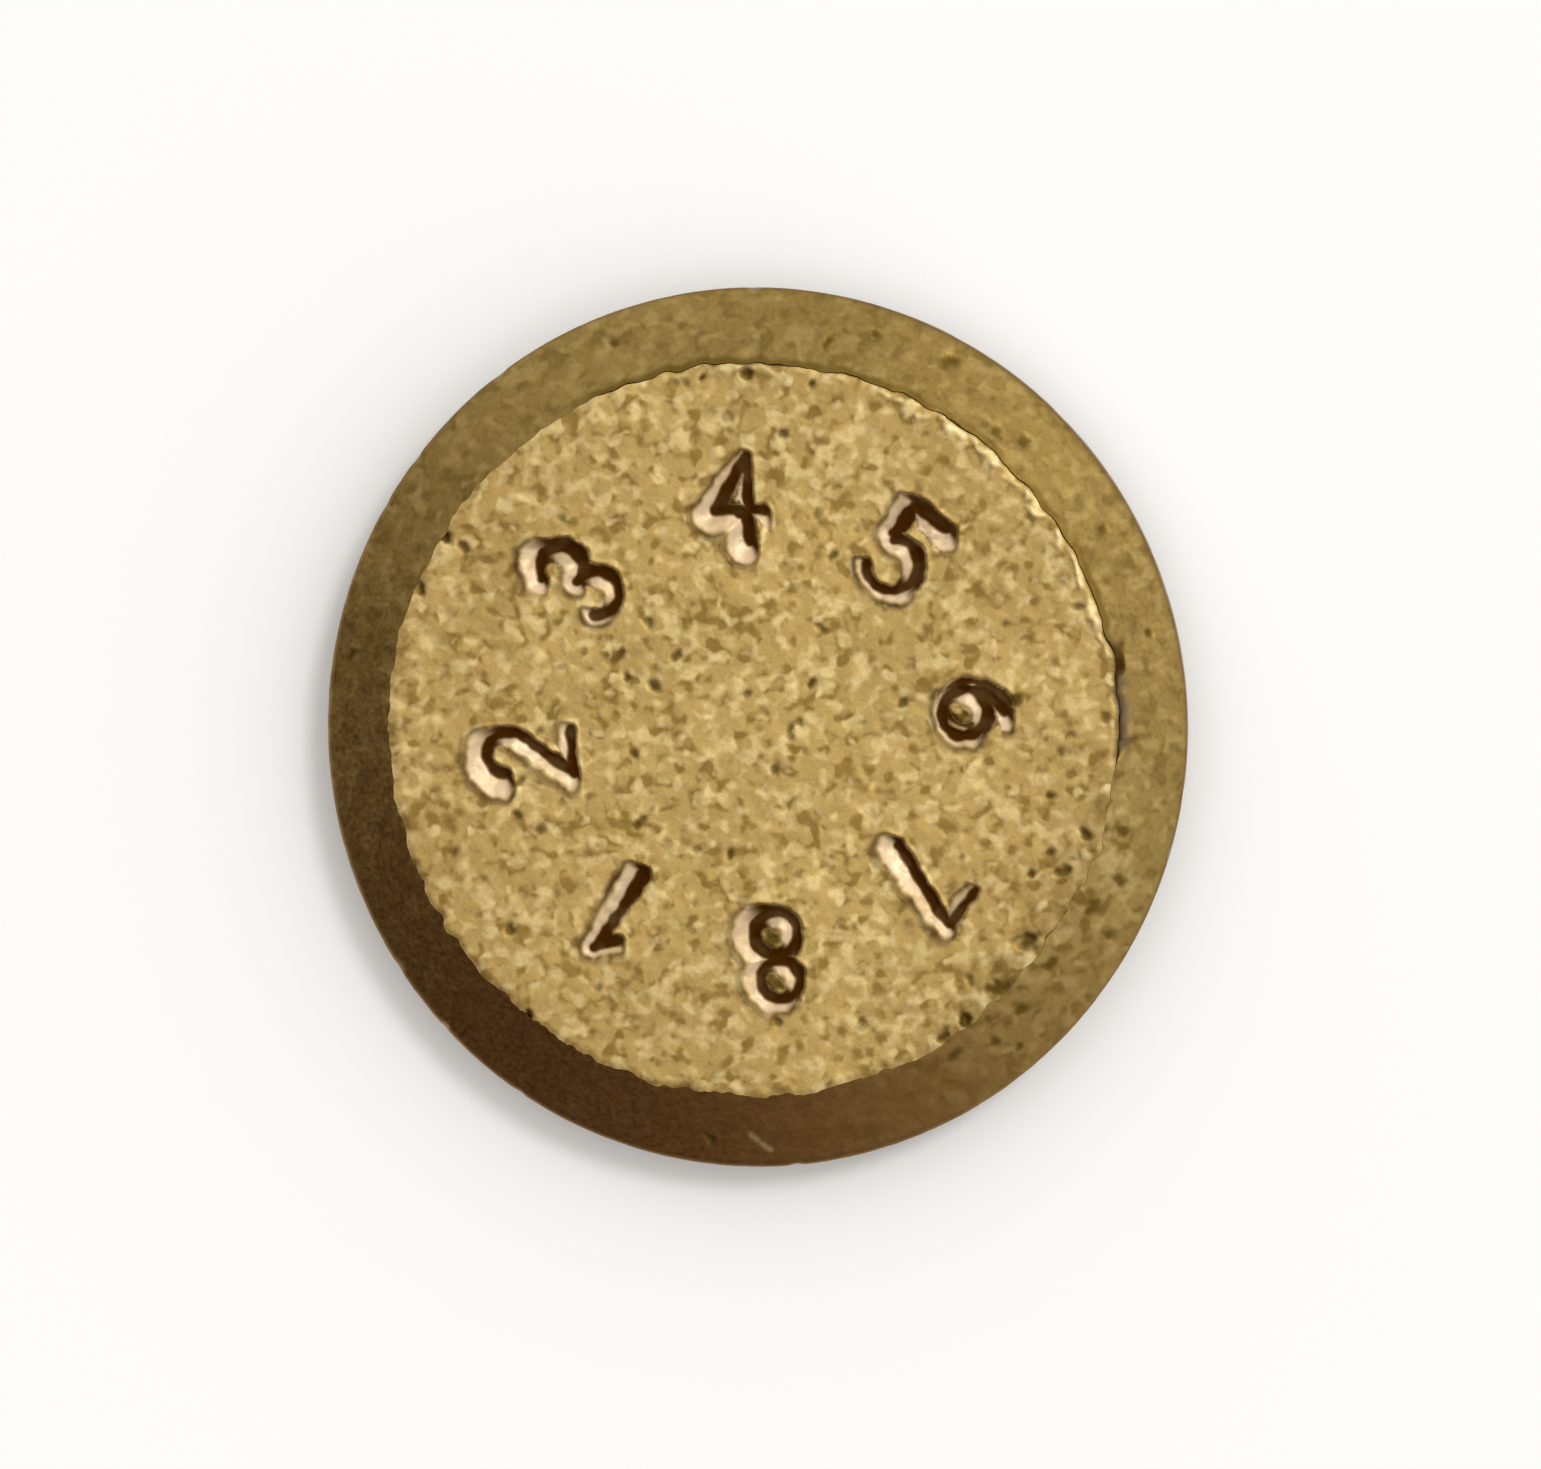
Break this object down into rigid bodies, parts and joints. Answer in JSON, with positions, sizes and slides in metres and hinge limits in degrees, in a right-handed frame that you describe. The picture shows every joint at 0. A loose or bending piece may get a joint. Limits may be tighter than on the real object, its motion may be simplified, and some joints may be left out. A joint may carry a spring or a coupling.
{
  "type": "transit token",
  "caption": "Round two-piece brass fare token: a core with hand-punched digits round its face, pressed into a bevelled ring.",
  "frame": {"origin": "centre of the back face of the core, on the token's axis", "axes": "+Z out of the punched face along the token's axis; +Y across the face towards digit 4, nearly; +X to its right"},
  "size_m": [0.0254, 0.0254, 0.0032],
  "materials": {
    "ring_brass": "satin, worn and slightly browned",
    "core_brass": "matte, coarse grained, with bright fresh metal in the punched digits"
  },
  "bodies": {
    "root": {"rim_ring": "ring_brass", "centre_plug": "core_brass"}
  },
  "joints": []
}
